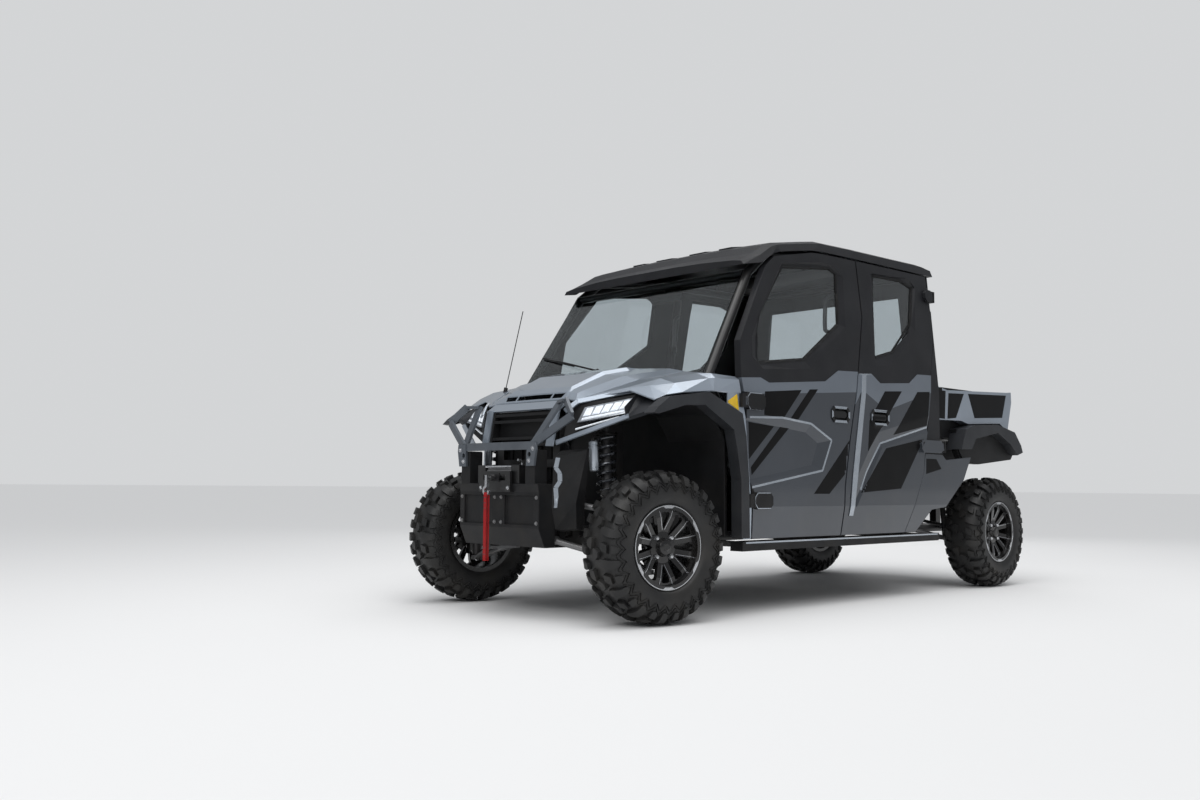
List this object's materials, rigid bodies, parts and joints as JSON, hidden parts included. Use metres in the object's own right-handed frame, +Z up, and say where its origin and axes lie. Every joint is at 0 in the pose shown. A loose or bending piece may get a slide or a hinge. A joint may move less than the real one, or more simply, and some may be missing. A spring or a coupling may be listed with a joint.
{
  "type": "side by side utility vehicle",
  "caption": "Crew-cab side by side utility vehicle with a closed cab, hinged doors and hood, steered front wheels, tipping cargo bed and drop tailgate.",
  "frame": {"origin": "on the ground under the middle of the vehicle", "axes": "+X forward, +Y to the left, +Z up"},
  "size_m": [3.99, 1.7242, 2.051],
  "materials": {
    "body_paint": "satin metallic grey",
    "dark_plastic": "textured black",
    "roof_plastic": "textured charcoal",
    "frame_black": "semi-gloss black",
    "guard_grey": "satin grey",
    "glass": "clear, lightly tinted",
    "tyre_rubber": "matt black rubber",
    "rim_alloy": "gloss black with machined edges",
    "arm_steel": "grey powder coat",
    "machined_steel": "machined",
    "seat_fabric": "black vinyl-coated fabric",
    "lamp_lens": "clear lens",
    "tail_lens": "red lens",
    "engine_metal": "dark cast metal",
    "strap_red": "red webbing",
    "bed_plastic": "textured black"
  },
  "bodies": {
    "chassis": {"chassis_frame": "frame_black", "cab_cage": "frame_black", "floor_pan": "dark_plastic", "rocker_panels": "dark_plastic", "quarter_panels": "body_paint", "cab_rear_panel": "dark_plastic", "rear_window": "glass", "roof_panel": "roof_plastic", "windscreen": "glass", "wiper": "dark_plastic", "cowl_panel": "dark_plastic", "dashboard": "dark_plastic", "seat_frames": "dark_plastic", "front_seats": "seat_fabric", "rear_seat": "seat_fabric", "front_fenders": "body_paint", "front_flares": "dark_plastic", "wheel_well_liners": "dark_plastic", "headlights": "lamp_lens", "grille": "dark_plastic", "front_fascia": "body_paint", "bumper_pods": "dark_plastic", "front_bumper": "dark_plastic", "bumper_guard": "guard_grey", "winch": "frame_black", "winch_hook": "machined_steel", "recovery_strap": "strap_red", "antenna": "dark_plastic", "door_hinges": "dark_plastic", "front_wishbones": "arm_steel", "rear_wishbones": "arm_steel", "shock_absorbers": "frame_black", "powertrain": "engine_metal", "hitch_receiver": "frame_black"},
    "hood": {"hood": "body_paint"},
    "front_left_hub": {"front_left_knuckle": "machined_steel"},
    "front_right_hub": {"front_right_knuckle": "machined_steel"},
    "front_left_wheel": {"front_left_tyre": "tyre_rubber", "front_left_rim": "rim_alloy"},
    "front_right_wheel": {"front_right_tyre": "tyre_rubber", "front_right_rim": "rim_alloy"},
    "rear_left_wheel": {"rear_left_tyre": "tyre_rubber", "rear_left_rim": "rim_alloy"},
    "rear_right_wheel": {"rear_right_tyre": "tyre_rubber", "rear_right_rim": "rim_alloy"},
    "steering_wheel": {"steering_wheel": "dark_plastic"},
    "steering_rack": {"steering_rack": "machined_steel"},
    "front_left_door": {"front_left_door": "body_paint", "front_left_window": "glass"},
    "front_right_door": {"front_right_door": "body_paint", "front_right_window": "glass"},
    "rear_left_door": {"rear_left_door": "body_paint", "rear_left_window": "glass"},
    "rear_right_door": {"rear_right_door": "body_paint", "rear_right_window": "glass"},
    "cargo_bed": {"cargo_bed": "bed_plastic", "bed_side_panels": "body_paint", "rear_flares": "dark_plastic", "tail_lights": "tail_lens"},
    "tailgate": {"tailgate": "bed_plastic"}
  },
  "joints": [
    {"name": "front_left_steer", "type": "hinge", "parent": "chassis", "child": "front_left_hub", "pos_m": [1.54, 0.655, 0.355], "axis": [0, 0, 1], "range_deg": [-22, 38]},
    {"name": "front_right_steer", "type": "hinge", "parent": "chassis", "child": "front_right_hub", "pos_m": [1.54, -0.655, 0.355], "axis": [0, 0, 1], "range_deg": [-22, 38]},
    {"name": "rack_slide", "type": "slide", "parent": "chassis", "child": "steering_rack", "axis": [0, 1, 0], "range_m": [-0.031, 0.0525]},
    {"name": "steering_wheel_turn", "type": "hinge", "parent": "chassis", "child": "steering_wheel", "pos_m": [0.79, 0.34, 1.078], "axis": [-0.84, 0, 0.5426], "range_deg": [-177, 305]},
    {"name": "front_left_wheel_spin", "type": "hinge", "parent": "front_left_hub", "child": "front_left_wheel", "pos_m": [1.54598, 0.69758, 0.355], "axis": [0.1392, 0.9903, 0], "continuous": true},
    {"name": "front_right_wheel_spin", "type": "hinge", "parent": "front_right_hub", "child": "front_right_wheel", "pos_m": [1.53402, -0.69758, 0.355], "axis": [0.1392, 0.9903, 0], "continuous": true},
    {"name": "rear_left_wheel_spin", "type": "hinge", "parent": "chassis", "child": "rear_left_wheel", "pos_m": [-1.61, 0.698, 0.355], "axis": [0, 1, 0], "continuous": true},
    {"name": "rear_right_wheel_spin", "type": "hinge", "parent": "chassis", "child": "rear_right_wheel", "pos_m": [-1.61, -0.698, 0.355], "axis": [0, 1, 0], "continuous": true},
    {"name": "hood_hinge", "type": "hinge", "parent": "chassis", "child": "hood", "pos_m": [1.252, 0, 1.204], "axis": [0, -1, 0], "range_deg": [0, 55]},
    {"name": "front_left_door_hinge", "type": "hinge", "parent": "chassis", "child": "front_left_door", "pos_m": [0.943, 0.802, 0.565], "axis": [-0.1184, 0, -0.993], "range_deg": [0, 60]},
    {"name": "front_right_door_hinge", "type": "hinge", "parent": "chassis", "child": "front_right_door", "pos_m": [0.943, -0.802, 0.565], "axis": [0.1184, 0, 0.993], "range_deg": [0, 60]},
    {"name": "rear_left_door_hinge", "type": "hinge", "parent": "chassis", "child": "rear_left_door", "pos_m": [-0.903, 0.802, 0.885], "axis": [0, -0.0662, 0.9978], "range_deg": [0, 60]},
    {"name": "rear_right_door_hinge", "type": "hinge", "parent": "chassis", "child": "rear_right_door", "pos_m": [-0.903, -0.802, 0.885], "axis": [0, -0.0662, -0.9978], "range_deg": [0, 60]},
    {"name": "bed_tip", "type": "hinge", "parent": "chassis", "child": "cargo_bed", "pos_m": [-1.86, 0, 0.922], "axis": [0, -1, 0], "range_deg": [0, 40]},
    {"name": "tailgate_hinge", "type": "hinge", "parent": "cargo_bed", "child": "tailgate", "pos_m": [-1.968, 0, 0.992], "axis": [0, -1, 0], "range_deg": [0, 90]}
  ],
  "couplings": [
    {"joint": "front_right_steer", "follows": "front_left_steer", "ratio": 1},
    {"joint": "rack_slide", "follows": "front_left_steer", "m_per_rad": 0.077},
    {"joint": "steering_wheel_turn", "follows": "front_left_steer", "ratio": 8}
  ]
}
